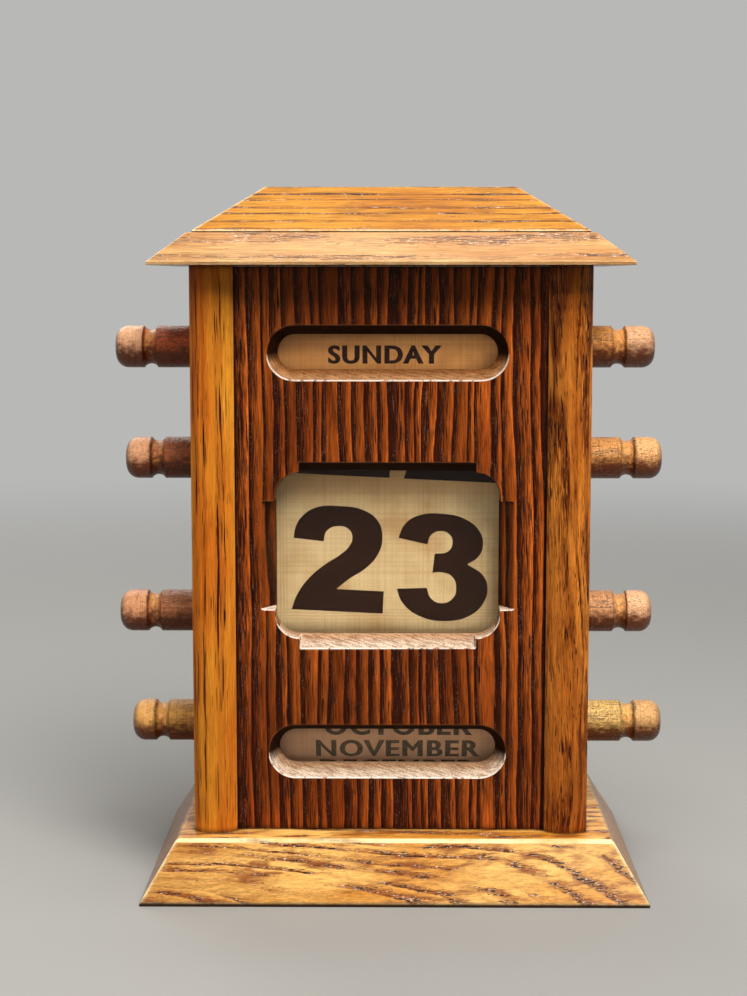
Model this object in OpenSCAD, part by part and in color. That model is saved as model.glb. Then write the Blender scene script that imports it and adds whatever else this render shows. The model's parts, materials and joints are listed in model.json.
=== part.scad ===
// Perpetual desk calendar: an oak case with three glazed windows. Four turned
// spindles run through the side boards. The top and bottom ones each carry a
// drum with the day and month names, and the middle two wind a printed linen
// scroll that shows the date. The origin is under the middle of the case, at the
// underside of the base. The windows face -Y and all sizes are in millimetres.

/* [Case] */
// Width over the two side boards
case_w = 87.5; // [82:0.5:110]
// Depth of a side board, nose to back edge
case_d = 49.5; // [46:0.5:70]
// Height of the case between the base and the eaves
case_h = 125.5; // [113:0.5:150]
// Thickness of a side board
board_t = 9.5; // [8.5:0.1:12]
// How far the rounded front edge of a side board stands out
nose_sag = 2.2; // [1:0.1:4]
// Thickness of the front panel
panel_t = 6.4; // [5.6:0.1:8]
// How far the front panel lies behind the foot of the rounded edge
panel_setback = 1.1; // [0:0.1:2.5]
// Depth of the groove that holds each edge of the front panel
groove_d = 3; // [1:0.1:4]
// Thickness of the back panel
back_t = 4; // [2.5:0.1:6]
// Width of the rebate that takes each edge of the back panel
rebate_w = 4.8; // [4.5:0.1:6]

/* [Base] */
// Height of the base
base_h = 13; // [10:0.5:25]
// How far the base's top stands out past the case
base_ledge = 4.25; // [1:0.25:10]
// How far the bevelled side of the base runs in
base_bevel = 7.5; // [1:0.25:14]
// Upright edge at the foot of the base
base_edge = 0.6; // [0.2:0.1:4]
// How far the base sits to the right of the case
base_shift = 0.9; // [-1:0.1:1]

/* [Roof] */
// Height of the eaves board
eaves_h = 7; // [5:0.25:12]
// How far the eaves board stands out past the case
eaves_reach = 8; // [3:0.25:14]
// Upright edge at the foot of the eaves board
eaves_edge = 0.75; // [0.2:0.05:3]
// Height of the roof cap
cap_h = 10.4; // [9.5:0.1:16]
// How far the roof cap's foot lies inside the case's sides
cap_inset = 0.75; // [0:0.05:1]
// Ledge left between the eaves board's top and the roof cap
cap_ledge = 1; // [0:0.25:3]
// How far the sloping side of the roof cap runs in
cap_bevel = 15; // [4:0.5:18]
// Upright edge at the foot of the roof cap
cap_edge = 0.4; // [0.2:0.05:2]

/* [Windows] */
// How far the windows sit to the right of the panel's centre line
window_shift = -0.7; // [-2:0.1:2]
// Distance between the end centres of the day and month slots
slot_l = 40.8; // [25:0.2:42]
// Half height of the clear part of a slot
slot_r = 3.9; // [3:0.1:5]
// How much a slot flares out at the panel's face, all round
slot_flare = 2.1; // [0.5:0.1:3]
// Depth of the flare and of the date window's bevels
flare_d = 5; // [2:0.1:5.2]
// How far the day slot's centre lies below its drum's axis
day_sight = 0.6; // [0:0.1:3]
// How far the month slot's centre lies below its drum's axis
month_sight = 2.45; // [0:0.05:3]
// How far the date window's centre lies below the middle of the two rollers
date_sight = 2.1; // [0:0.1:4]
// Clear width of the date window
date_w = 49.6; // [36:0.2:50]
// Clear height of the date window
date_h = 36.8; // [28:0.2:40]
// Radius of the date window's plain corners
date_corner = 5.4; // [2:0.1:8]
// Run of the bevels on the date window's upright sides
date_side_bevel = 3; // [0.5:0.1:3.5]
// Run of the bevels on the date window's top and bottom
date_end_bevel = 2.3; // [0.5:0.1:3]
// Length of the side bevels
side_bevel_l = 24; // [12:0.5:30]
// Length of the top and bottom bevels
end_bevel_l = 38.8; // [20:0.2:40]

/* [Glazing] */
// Thickness of a pane
glass_t = 1.6; // [1:0.1:2]
// How far a pane laps behind the wood round its window
glass_lap = 4; // [2.5:0.1:4.4]
// Height of a glazing bead
bead_h = 4.4; // [3:0.1:5]
// How far a bead's lip laps over the edge of its pane
bead_lip = 1.5; // [0.8:0.1:2]
// Thickness of a bead's lip
lip_t = 0.8; // [0.4:0.1:1]

/* [Spindles] */
// Radius of a spindle
spindle_r = 4.75; // [3.5:0.05:4.9]
// Running clearance of a spindle in its side boards, all round
spindle_fit = 0.08; // [0.03:0.01:0.1]
// How far a knob stands out past its side board when centred
knob_reach = 17.5; // [14:0.5:30]
// Length of a knob's head
head_l = 6.2; // [6:0.1:10]
// How much longer than that the hand-turned left and right heads of the day spindle are
day_head_extra = [0.2, 0.5]; // [-0.9:0.1:0.9]
// The same for the upper date spindle
date_upper_head_extra = [-0.4, 0.1]; // [-0.9:0.1:0.9]
// The same for the lower date spindle
date_lower_head_extra = [0.2, -0.4]; // [-0.9:0.1:0.9]
// The same for the month spindle
month_head_extra = [-0.9, 0.1]; // [-0.9:0.1:0.9]
// Rounding of a knob's end
head_round = 2.8; // [0.5:0.1:3.3]
// Width of the groove behind a knob's head
cove_w = 3.2; // [2:0.1:4]
// Depth of the groove behind a knob's head
cove_d = 0.9; // [0.3:0.1:1.5]
// Height of the month spindle above the base's top
month_z = 20.3; // [18.5:0.1:22]
// Height of the lower date spindle above the month spindle
date_lower_rise = 25.9; // [24.5:0.1:30]
// Depth of the day spindle below the eaves board
day_drop = 18.3; // [14:0.1:22]
// Height of the day spindle above the upper date spindle
day_rise = 25.4; // [24:0.1:27]
// How far the day spindle is pushed to the right
day_float = -1.4; // [-2:0.1:2]
// How far the upper date spindle is pushed to the right
date_upper_float = 0.6; // [-2:0.1:2]
// How far the lower date spindle is pushed to the right
date_lower_float = -1.2; // [-2:0.1:2]
// How far the month spindle is pushed to the right
month_float = 1.4; // [-2:0.1:2]

/* [Drums] */
// Radius of a drum
drum_r = 10.85; // [9:0.05:11]
// Gap between a drum's linen band and the panes
drum_gap = 0.85; // [0.5:0.05:2]
// Gap between each end of a centred drum and its side board
drum_play = 2.25; // [2.1:0.05:6]
// Thickness of the printed linen
linen_t = 0.25; // [0.15:0.05:0.35]
// Width of bare drum left at each end of its linen band
band_inset = 1; // [0.2:0.1:4]
// Radius of the pins that lock a drum to its spindle
pin_r = 0.8; // [0.5:0.05:1.2]
// Distance from a drum's end to its pin
pin_inset = 7; // [3:0.5:20]
// How far a pin reaches past the axis
pin_past = 3; // [1:0.1:3.4]

/* [Scroll] */
// Distance from one number to the next along the scroll
number_pitch = 30.7; // [20:0.1:32]
// Numbers wound above the one that shows
numbers_above = 22; // [0:1:30]
// Blank linen at each end of the scroll
leader_l = 60; // [20:5:100]
// Gap between each edge of a centred scroll and its side board
scroll_margin = 4.25; // [3:0.05:10]
// How far the scroll sits to the right of the middle
scroll_shift = -0.45; // [-2:0.05:2]
// Clearance between the hanging span and the two rolls
scroll_gap = 0.15; // [0.1:0.05:0.3]
// Angle over which the span's ends follow each roll
scroll_wrap = 40; // [10:1:80]

/* [Screws] */
// Head radius of the case screws
screw_head_r = 3.3; // [2.6:0.1:3.8]
// Shank radius of the case screws
screw_r = 1.6; // [1.2:0.05:2]
// How far the case screws reach into the piece that they hold
screw_bite = 14; // [8:0.5:20]
// How far the case screws stand from the middle of the case
screw_y = 11; // [9:0.5:13]
// How far each screw that holds the roof cap stands from the centre line
cap_screw_x = 18; // [8:0.5:24]
// How far the roof cap's screws reach into it
cap_bite = 6; // [3:0.5:7]
// Head radius of the back panel's screws
back_head_r = 2.1; // [1.6:0.1:2.3]
// Shank radius of the back panel's screws
back_screw_r = 1.05; // [0.8:0.05:1.2]
// How far the back panel's screws reach into the side boards
back_bite = 7; // [4:0.5:10]
// Distance from the back panel's ends to its outer screws
back_screw_inset = 8; // [5:0.5:20]
// Clearance round a screw or pin in its hole
screw_fit = 0.04; // [0.02:0.01:0.1]
// Width of a screw's slot
driver_w = 0.7; // [0.4:0.1:1]
// Depth of a screw's slot
driver_d = 0.6; // [0.3:0.1:1]

/* [Hidden] */
$fn = 96;
over = 1;               // how far a cutter runs past the face that it cuts
numbers = 31;           // numbers on the date scroll

// Levels
floor_z = base_h;
case_top = base_h + case_h;
eaves_top = case_top + eaves_h;

// Case, front to back
inner_w = case_w - 2 * board_t;
nose_y = -case_d / 2;
flank_y = nose_y + nose_sag;
nose_r = (board_t * board_t / 4 + nose_sag * nose_sag) / (2 * nose_sag);
panel_y = flank_y + panel_setback;
glass_y = panel_y + panel_t;
back_y = case_d / 2 - back_t;
board_mid = case_w / 2 - board_t / 2;

// Spindle heights: the date spindles share what the drums leave between them
month_axis = floor_z + month_z;
date_lower_axis = month_axis + date_lower_rise;
day_axis = case_top - day_drop;
date_upper_axis = day_axis - day_rise;

// Drums, rolls and the scroll's span, which lies on the tangent in front of both rolls
band_r = drum_r + linen_t;
axis_y = glass_y + glass_t + drum_gap + band_r;
drum_w = inner_w - 2 * drum_play;
scroll_w = inner_w - 2 * scroll_margin;
function roll_r(count) =
    sqrt(spindle_r * spindle_r + linen_t * (count * number_pitch + leader_l) / PI);
upper_r = roll_r(numbers_above);
lower_r = roll_r(numbers - numbers_above - 1);
span_upper_r = upper_r + scroll_gap;
span_lower_r = lower_r + scroll_gap;
span_lean = asin((span_upper_r - span_lower_r) / (date_upper_axis - date_lower_axis));
span_front = 180 + span_lean;

// Windows and knobs
day_mid = day_axis - day_sight;
date_mid = (date_lower_axis + date_upper_axis) / 2 - date_sight;
month_mid = month_axis - month_sight;
spindle_l = case_w + 2 * knob_reach;
cove_r = (cove_w * cove_w / 4 + cove_d * cove_d) / (2 * cove_d);
pane_w = max(slot_l + 2 * slot_r, date_w) + 2 * glass_lap;

// Roof and back
cap_w = case_w - 2 * cap_inset;
cap_d = case_d - 2 * cap_inset;
eaves_bevel = eaves_reach + cap_inset - cap_ledge;
base_reach = base_ledge + base_bevel;
back_screw_x = inner_w / 2 + rebate_w / 2;
back_screw_rows = [back_screw_inset, case_h / 2, case_h - back_screw_inset];

// A board with an upright edge below and all four sides bevelled inwards.
module bevelled_board(w, d, h, edge, run) {
    intersection() {
        rotate([90, 0, 0])
            linear_extrude(d + 2 * over, center = true)
                bevelled_section(w, h, edge, run);
        rotate([90, 0, 90])
            linear_extrude(w + 2 * over, center = true)
                bevelled_section(d, h, edge, run);
    }
}

module bevelled_section(w, h, edge, run) {
    polygon([
        [-w / 2, 0], [w / 2, 0], [w / 2, edge],
        [w / 2 - run, h], [-w / 2 + run, h], [-w / 2, edge]
    ]);
}

// A countersunk screw that points down, with its head's face at z = 0.
module screw(head_r, r, l) {
    head_h = head_r - r;
    difference() {
        union() {
            translate([0, 0, -head_h]) cylinder(h = head_h, r1 = r, r2 = head_r);
            translate([0, 0, r - l]) cylinder(h = l - r - head_h, r = r);
            translate([0, 0, -l]) cylinder(h = r, r1 = r / 8, r2 = r);
        }
        translate([-2 * head_r, -driver_w / 2, -driver_d])
            cube([4 * head_r, driver_w, driver_d + over]);
    }
}

// The hole that such a screw needs.
module screw_hole(head_r, r, l) {
    head_h = head_r - r;
    translate([0, 0, -l - screw_fit]) cylinder(h = l, r = r + screw_fit);
    translate([0, 0, -head_h])
        cylinder(h = head_h + over, r1 = r + screw_fit, r2 = head_r + over + screw_fit);
}

// Places its children at the four screws between one end of the case and the boards.
module at_case_screws() {
    for (x = [-board_mid, board_mid], y = [-screw_y, screw_y])
        translate([x, y, 0]) children();
}

module at_base_screws() {
    at_case_screws() rotate([180, 0, 0]) children();
}

module at_eaves_screws() {
    translate([0, 0, eaves_top]) at_case_screws() children();
}

module at_cap_screws() {
    for (x = [-cap_screw_x, cap_screw_x])
        translate([x, 0, case_top]) rotate([180, 0, 0]) children();
}

module at_back_screws() {
    for (x = [-back_screw_x, back_screw_x], z = back_screw_rows)
        translate([x, case_d / 2, floor_z + z]) rotate([-90, 0, 0]) children();
}

module base_plinth() {
    color("goldenrod")
    difference() {
        translate([base_shift, 0, 0])
            bevelled_board(case_w + 2 * base_reach, case_d + 2 * base_reach,
                           base_h, base_edge, base_bevel);
        at_base_screws() screw_hole(screw_head_r, screw_r, base_h + screw_bite);
    }
}

// Section of the right side board, seen from above.
module board_section() {
    difference() {
        union() {
            translate([inner_w / 2, flank_y])
                square([board_t, case_d - nose_sag]);
            intersection() {
                translate([board_mid, nose_y + nose_r]) circle(nose_r);
                translate([inner_w / 2, nose_y - over])
                    square([board_t, nose_sag + 2 * over]);
            }
        }
        translate([inner_w / 2 - over, panel_y]) square([groove_d + over, panel_t]);
        translate([inner_w / 2 - over, back_y]) square([rebate_w + over, back_t + over]);
    }
}

module side_board() {
    difference() {
        translate([0, 0, floor_z]) linear_extrude(case_h) board_section();
        for (z = [month_axis, date_lower_axis, date_upper_axis, day_axis])
            translate([inner_w / 2 - over, axis_y, z]) rotate([0, 90, 0])
                cylinder(h = board_t + 2 * over, r = spindle_r + spindle_fit);
        at_base_screws() screw_hole(screw_head_r, screw_r, base_h + screw_bite);
        at_eaves_screws() screw_hole(screw_head_r, screw_r, eaves_h + screw_bite);
        at_back_screws() screw_hole(back_head_r, back_screw_r, back_t + back_bite);
    }
}

module side_board_left() {
    color("goldenrod") mirror([1, 0, 0]) side_board();
}

module side_board_right() {
    color("sienna") side_board();
}

// A slot with round ends, clear through the panel and flared towards its face.
module flared_slot(mid) {
    clear_l = panel_t + 2 * over;
    // The flare is carried on in front of the face at the same slope.
    flare_out = slot_r + slot_flare * (flare_d + over) / flare_d;
    translate([window_shift, panel_y, mid]) {
        for (x = [-slot_l / 2, slot_l / 2]) translate([x, -over, 0]) rotate([-90, 0, 0]) {
            cylinder(h = clear_l, r = slot_r);
            cylinder(h = flare_d + over, r1 = flare_out, r2 = slot_r);
        }
        translate([-slot_l / 2, -over, -slot_r]) cube([slot_l, clear_l, 2 * slot_r]);
        rotate([90, 0, 90]) linear_extrude(slot_l, center = true)
            polygon([
                [-over, -flare_out], [flare_d, -slot_r],
                [flare_d, slot_r], [-over, flare_out]
            ]);
    }
}

// A wedge along X that bevels the edge z = 0 of an opening below it.
module bevel_wedge(l, run) {
    run_out = run * (flare_d + over) / flare_d;
    rotate([90, 0, 90]) linear_extrude(l, center = true)
        polygon([[-over, -over], [flare_d, -over], [flare_d, 0], [-over, run_out]]);
}

module date_opening() {
    translate([window_shift, panel_y, date_mid]) {
        translate([0, -over, 0]) rotate([-90, 0, 0])
            linear_extrude(panel_t + 2 * over) {
                square([date_w - 2 * date_corner, date_h], center = true);
                square([date_w, date_h - 2 * date_corner], center = true);
                for (x = [-1, 1], z = [-1, 1])
                    translate([x * (date_w / 2 - date_corner), z * (date_h / 2 - date_corner)])
                        circle(date_corner);
            }
        for (turn = [0, 180]) rotate([0, turn, 0]) {
            translate([0, 0, date_h / 2]) bevel_wedge(end_bevel_l, date_end_bevel);
            rotate([0, 90, 0]) translate([0, 0, date_w / 2])
                bevel_wedge(side_bevel_l, date_side_bevel);
        }
    }
}

module front_panel() {
    color("saddlebrown")
    difference() {
        translate([-inner_w / 2 - groove_d, panel_y, floor_z])
            cube([inner_w + 2 * groove_d, panel_t, case_h]);
        flared_slot(day_mid);
        flared_slot(month_mid);
        date_opening();
    }
}

module back_panel() {
    color("peru")
    difference() {
        translate([-inner_w / 2 - rebate_w, back_y, floor_z])
            cube([inner_w + 2 * rebate_w, back_t, case_h]);
        at_back_screws() screw_hole(back_head_r, back_screw_r, back_t + back_bite);
    }
}

module eaves_board() {
    color("burlywood")
    difference() {
        translate([0, 0, case_top])
            bevelled_board(case_w + 2 * eaves_reach, case_d + 2 * eaves_reach,
                           eaves_h, eaves_edge, eaves_bevel);
        at_eaves_screws() screw_hole(screw_head_r, screw_r, eaves_h + screw_bite);
        at_cap_screws() screw_hole(screw_head_r, screw_r, eaves_h + cap_bite);
    }
}

module roof_cap() {
    color("orange")
    difference() {
        translate([0, 0, eaves_top])
            bevelled_board(cap_w, cap_d, cap_h, cap_edge, cap_bevel);
        at_cap_screws() screw_hole(screw_head_r, screw_r, eaves_h + cap_bite);
    }
}

// A pane behind a window of the given clear height.
module pane(mid, clear_h) {
    h = clear_h + 2 * glass_lap;
    color("lightcyan", 0.4)
    translate([window_shift - pane_w / 2, glass_y, mid - h / 2])
        cube([pane_w, glass_t, h]);
}

// The two rebated strips that hold a pane's top and bottom edges.
module glazing_beads(mid, clear_h) {
    edge = clear_h / 2 + glass_lap;
    bead_back = glass_y + glass_t + lip_t;
    bead_far = edge + bead_h - bead_lip;
    color("sienna")
    for (side = [-1, 1])
        translate([window_shift - pane_w / 2, 0, mid])
            rotate([90, 0, 90]) linear_extrude(pane_w)
                polygon([
                    [glass_y, side * edge], [glass_y, side * bead_far],
                    [bead_back, side * bead_far], [bead_back, side * (edge - bead_lip)],
                    [glass_y + glass_t, side * (edge - bead_lip)],
                    [glass_y + glass_t, side * edge]
                ]);
}

module day_glass() {
    pane(day_mid, 2 * slot_r);
}

module date_glass() {
    pane(date_mid, date_h);
}

module month_glass() {
    pane(month_mid, 2 * slot_r);
}

module day_glazing_beads() {
    glazing_beads(day_mid, 2 * slot_r);
}

module date_glazing_beads() {
    glazing_beads(date_mid, date_h);
}

module month_glazing_beads() {
    glazing_beads(month_mid, 2 * slot_r);
}

// Half section of a spindle, with a knob at each end.
module spindle_section(head_extra) {
    left_cove = head_l + head_extra[0] + cove_w / 2;
    right_cove = spindle_l - head_l - head_extra[1] - cove_w / 2;
    difference() {
        intersection() {
            square([spindle_r, spindle_l]);
            union() {
                square([spindle_r - head_round, spindle_l]);
                translate([0, head_round])
                    square([spindle_r, spindle_l - 2 * head_round]);
                for (y = [head_round, spindle_l - head_round])
                    translate([spindle_r - head_round, y]) circle(head_round);
            }
        }
        for (y = [left_cove, right_cove])
            translate([spindle_r - cove_d + cove_r, y]) circle(cove_r);
    }
}

// Places its children, which stand on +Z, along X with their middle at shift.
module on_axis(shift, z, l) {
    translate([shift - l / 2, axis_y, z]) rotate([0, 90, 0]) children();
}

module spindle(shift, z, head_extra) {
    on_axis(shift, z, spindle_l) rotate_extrude() spindle_section(head_extra);
}

module tube(shift, z, l, outer_r, inner_r) {
    on_axis(shift, z, l) difference() {
        cylinder(h = l, r = outer_r);
        translate([0, 0, -over]) cylinder(h = l + 2 * over, r = inner_r);
    }
}

// The two pins of a drum, or with a grow above 0 the holes that they need.
module drum_pin_pair(shift, z, grow = 0) {
    pin_x = drum_w / 2 - pin_inset;
    head_gap = linen_t / 2;
    for (x = [-pin_x, pin_x])
        translate([shift + x, axis_y, z - pin_past - grow])
            cylinder(h = pin_past + drum_r - head_gap + (grow > 0 ? over : 0), r = pin_r + grow);
}

module drum_spindle(shift, z, head_extra) {
    color("chocolate")
    difference() {
        spindle(shift, z, head_extra);
        drum_pin_pair(shift, z, screw_fit);
    }
}

module drum(shift, z) {
    color("tan")
    difference() {
        tube(shift, z, drum_w, drum_r, spindle_r);
        drum_pin_pair(shift, z, screw_fit);
    }
}

module band(shift, z) {
    color("wheat") tube(shift, z, drum_w - 2 * band_inset, band_r, drum_r);
}

module day_spindle() {
    drum_spindle(day_float, day_axis, day_head_extra);
}

module day_drum() {
    drum(day_float, day_axis);
}

module day_band() {
    band(day_float, day_axis);
}

module day_drum_pins() {
    color("gold") drum_pin_pair(day_float, day_axis);
}

module month_spindle() {
    drum_spindle(month_float, month_axis, month_head_extra);
}

module month_drum() {
    drum(month_float, month_axis);
}

module month_band() {
    band(month_float, month_axis);
}

module month_drum_pins() {
    color("gold") drum_pin_pair(month_float, month_axis);
}

module date_upper_spindle() {
    color("chocolate") spindle(date_upper_float, date_upper_axis, date_upper_head_extra);
}

module date_upper_roll() {
    color("wheat") tube(scroll_shift, date_upper_axis, scroll_w, upper_r, spindle_r);
}

module date_lower_spindle() {
    color("chocolate") spindle(date_lower_float, date_lower_axis, date_lower_head_extra);
}

module date_lower_roll() {
    color("wheat") tube(scroll_shift, date_lower_axis, scroll_w, lower_r, spindle_r);
}

// Linen that follows a roll from angle a0 to a1, seen along -X.
module wrap_section(z, r, a0, a1) {
    far = 3 * (r + linen_t);
    translate([axis_y, z]) intersection() {
        difference() {
            circle(r + linen_t);
            circle(r);
        }
        polygon([[0, 0], far * [cos(a0), sin(a0)], far * [cos(a1), sin(a1)]]);
    }
}

module date_scroll() {
    front = [cos(span_front), sin(span_front)];
    upper = [axis_y, date_upper_axis];
    lower = [axis_y, date_lower_axis];
    color("wheat")
    translate([scroll_shift - scroll_w / 2, 0, 0])
        rotate([90, 0, 90]) linear_extrude(scroll_w) {
            polygon([
                upper + span_upper_r * front, upper + (span_upper_r + linen_t) * front,
                lower + (span_lower_r + linen_t) * front, lower + span_lower_r * front
            ]);
            wrap_section(date_upper_axis, span_upper_r, span_front - scroll_wrap, span_front);
            wrap_section(date_lower_axis, span_lower_r, span_front, span_front + scroll_wrap);
        }
}

module base_screws() {
    color("gold") at_base_screws() screw(screw_head_r, screw_r, base_h + screw_bite);
}

module eaves_screws() {
    color("gold") at_eaves_screws() screw(screw_head_r, screw_r, eaves_h + screw_bite);
}

module cap_screws() {
    color("gold") at_cap_screws() screw(screw_head_r, screw_r, eaves_h + cap_bite);
}

module back_screws() {
    color("gold") at_back_screws() screw(back_head_r, back_screw_r, back_t + back_bite);
}

base_plinth();
side_board_left();
side_board_right();
front_panel();
back_panel();
eaves_board();
roof_cap();
day_glass();
date_glass();
month_glass();
day_glazing_beads();
date_glazing_beads();
month_glazing_beads();
day_spindle();
day_drum();
day_band();
day_drum_pins();
date_upper_spindle();
date_upper_roll();
date_lower_spindle();
date_lower_roll();
date_scroll();
month_spindle();
month_drum();
month_band();
month_drum_pins();
base_screws();
eaves_screws();
cap_screws();
back_screws();
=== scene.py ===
import json
import math

import bpy
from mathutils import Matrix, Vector


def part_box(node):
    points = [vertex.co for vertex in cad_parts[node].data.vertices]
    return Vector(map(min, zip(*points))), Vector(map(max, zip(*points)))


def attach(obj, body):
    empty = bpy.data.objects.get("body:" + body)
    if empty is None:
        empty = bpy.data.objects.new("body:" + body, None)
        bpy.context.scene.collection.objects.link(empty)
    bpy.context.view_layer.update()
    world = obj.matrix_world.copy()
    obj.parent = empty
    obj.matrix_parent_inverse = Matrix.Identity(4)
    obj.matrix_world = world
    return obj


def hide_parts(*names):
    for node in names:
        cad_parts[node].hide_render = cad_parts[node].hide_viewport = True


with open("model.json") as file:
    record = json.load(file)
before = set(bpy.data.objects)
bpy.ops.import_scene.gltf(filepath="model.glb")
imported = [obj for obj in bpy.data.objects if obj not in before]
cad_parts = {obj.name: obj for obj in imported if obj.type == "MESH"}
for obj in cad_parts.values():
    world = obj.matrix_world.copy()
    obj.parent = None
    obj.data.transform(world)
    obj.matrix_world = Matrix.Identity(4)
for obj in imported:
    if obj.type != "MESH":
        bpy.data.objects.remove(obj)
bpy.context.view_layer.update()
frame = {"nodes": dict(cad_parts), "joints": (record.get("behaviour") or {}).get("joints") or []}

mm = 0.001
inMm = (1000, 1000, 1000)
oneSpot = 0.002          # points nearer to each other than this, in mm, are merged
smoothBelow = math.radians(40)
nodes = frame["nodes"]
axisOf = {joint["name"]: Vector(joint["pos_m"]) for joint in frame["joints"]}


# Objects and edit mode

def pickNothing():
    bpy.ops.object.select_all(action="DESELECT")


def pickOnly(piece):
    pickNothing()
    piece.select_set(True)
    bpy.context.view_layer.objects.active = piece


def editStart(piece, mode):
    pickOnly(piece)
    bpy.ops.object.mode_set(mode="EDIT")
    bpy.ops.mesh.select_mode(type=mode)
    bpy.ops.mesh.select_all(action="DESELECT")


def editAll(piece):
    editStart(piece, "VERT")
    bpy.ops.mesh.select_all(action="SELECT")


def editEnd():
    bpy.ops.object.mode_set(mode="OBJECT")


# Selects the edges for which test(middle, direction) holds, and stays in edit mode.
def pickEdges(piece, test):
    editStart(piece, "EDGE")
    editEnd()
    points = piece.data.vertices
    for edge in piece.data.edges:
        a, b = (points[i].co for i in edge.vertices)
        edge.select = test((a + b) / 2, (b - a).normalized())
    bpy.ops.object.mode_set(mode="EDIT")


def roundEdges(piece, width, steps, test):
    pickEdges(piece, test)
    bpy.ops.mesh.bevel(offset=width * mm, segments=steps, profile=0.5, affect="EDGES", clamp_overlap=True)
    editEnd()


def applyModifier(piece, kind, **settings):
    pickOnly(piece)
    modifier = piece.modifiers.new("finish", kind)
    for name, value in settings.items():
        setattr(modifier, name, value)
    bpy.ops.object.modifier_apply(modifier=modifier.name)


def coat(mesh, material):
    mesh.materials.clear()
    mesh.materials.append(material)


def newPiece(name, mesh):
    piece = bpy.data.objects.new(name, mesh)
    bpy.context.scene.collection.objects.link(piece)
    return piece


# A clean copy of a CAD node's mesh, which stands for that node.
def nodeCopy(nodeName, pieceName, body):
    piece = newPiece(pieceName, nodes[nodeName].data.copy())
    piece.data.materials.clear()
    editAll(piece)
    bpy.ops.mesh.remove_doubles(threshold=oneSpot * mm)
    bpy.ops.mesh.dissolve_limited(angle_limit=math.radians(1))
    editEnd()
    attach(piece, body)
    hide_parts(nodeName)
    return piece


# Rounds all sharp edges a little and shades the piece.
def softenBoard(piece, arris, sharp=28):
    applyModifier(piece, "BEVEL", width=arris * mm, segments=2, limit_method="ANGLE",
                  angle_limit=math.radians(sharp), use_clamp_overlap=True, miter_outer="MITER_ARC")
    pickOnly(piece)
    bpy.ops.object.shade_smooth_by_angle(angle=smoothBelow)
    applyModifier(piece, "WEIGHTED_NORMAL", keep_sharp=True, weight=80)


# Marks how far a surface looks up: 1 for up, 0 for down. Finishes paint light and shade by it.
def markUpward(piece):
    marks = piece.data.attributes.new("upward", "FLOAT", "CORNER")
    for number, corner in enumerate(piece.data.corner_normals):
        marks.data[number].value = 0.5 + 0.5 * corner.vector.z


# Gives every face the value of measure(normal) under the given name.
def markFaces(piece, name, measure):
    marks = piece.data.attributes.new(name, "FLOAT", "FACE")
    for face in piece.data.polygons:
        marks.data[face.index].value = float(measure(face.normal))


# Marks every face with how squarely it cuts the grain: 0 along it, 1 across it.
def markEndGrain(piece, grain):
    markFaces(piece, "endGrain", lambda normal: abs(normal.dot(grain)))


# Shader trees. New nodes go into the tree that newGroup, newMaterial or makeStudio chose last.

work = {"tree": None}


# Sets a socket's own value; a colour is given as red, green and blue.
def fill(socket, value):
    socket.default_value = (*value, 1.0) if socket.type == "RGBA" else value


def wire(value, socket):
    if isinstance(value, bpy.types.NodeSocket):
        socket.id_data.links.new(value, socket)
    else:
        fill(socket, value)


def give(made, values):
    for key, value in values.items():
        wire(value, made.inputs[key])


def put(kind, inputs=None, **settings):
    made = work["tree"].nodes.new("ShaderNode" + kind)
    for name, value in settings.items():
        setattr(made, name, value)
    give(made, inputs or {})
    return made


def calc(operation, a, b=0.0, c=0.0, clamp=False):
    return put("Math", {0: a, 1: b, 2: c}, operation=operation, use_clamp=clamp).outputs[0]


def times(a, b):
    return calc("MULTIPLY", a, b)


def timesPlus(a, b, c):
    return calc("MULTIPLY_ADD", a, b, c)


def plus(a, b, clamp=False):
    return calc("ADD", a, b, clamp=clamp)


def minus(a, b, clamp=False):
    return calc("SUBTRACT", a, b, clamp=clamp)


def vec(operation, a, b):
    return put("VectorMath", {0: a, 1: b}, operation=operation).outputs["Vector"]


def fade(value, start, end, low=0.0, high=1.0):
    made = put("MapRange", {"Value": value, "From Min": start, "From Max": end, "To Min": low,
                            "To Max": high}, interpolation_type="SMOOTHSTEP")
    return made.outputs["Result"]


def mixColour(share, a, b, blend="MIX"):
    made = put("Mix", {"Factor": share}, data_type="RGBA", blend_type=blend)
    wire(a, made.inputs[6])
    wire(b, made.inputs[7])
    return made.outputs[2]


# Soft noise at a place, which may be stretched first.
def cloudy(place, detail=2.0, rough=0.5, scale=1.0, stretch=None, output=0):
    if stretch is not None:
        place = vec("MULTIPLY", place, stretch)
    return put("TexNoise", {"Vector": place, "Scale": scale, "Detail": detail,
                            "Roughness": rough}).outputs[output]


def waves(along, scale, detail=2.0, rough=0.5):
    return put("TexNoise", {"W": along, "Scale": scale, "Detail": detail, "Roughness": rough},
               noise_dimensions="1D").outputs[0]


def chance(number):
    return put("TexWhiteNoise", {"W": number}, noise_dimensions="1D").outputs["Value"]


def objectSpot():
    return put("TexCoord").outputs["Object"]


def spotInMm():
    return vec("MULTIPLY", objectSpot(), inMm)


# The x, y and z of a place, or of the object's own coordinates.
def apart(place=None):
    return put("SeparateXYZ", {0: place or objectSpot()}).outputs


def marked(name):
    return put("Attribute", attribute_name=name).outputs["Fac"]


# Multiplies a colour by a tint, or by a grey that changes over the surface.
def tinted(colour, tint):
    return mixColour(1.0, colour, tint, "MULTIPLY")


def greyOf(value):
    return put("CombineColor", {0: value, 1: value, 2: value}).outputs[0]


def bumps(height, strength, depth):
    return put("Bump", {"Height": height, "Strength": strength, "Distance": depth * mm}).outputs[0]


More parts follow.
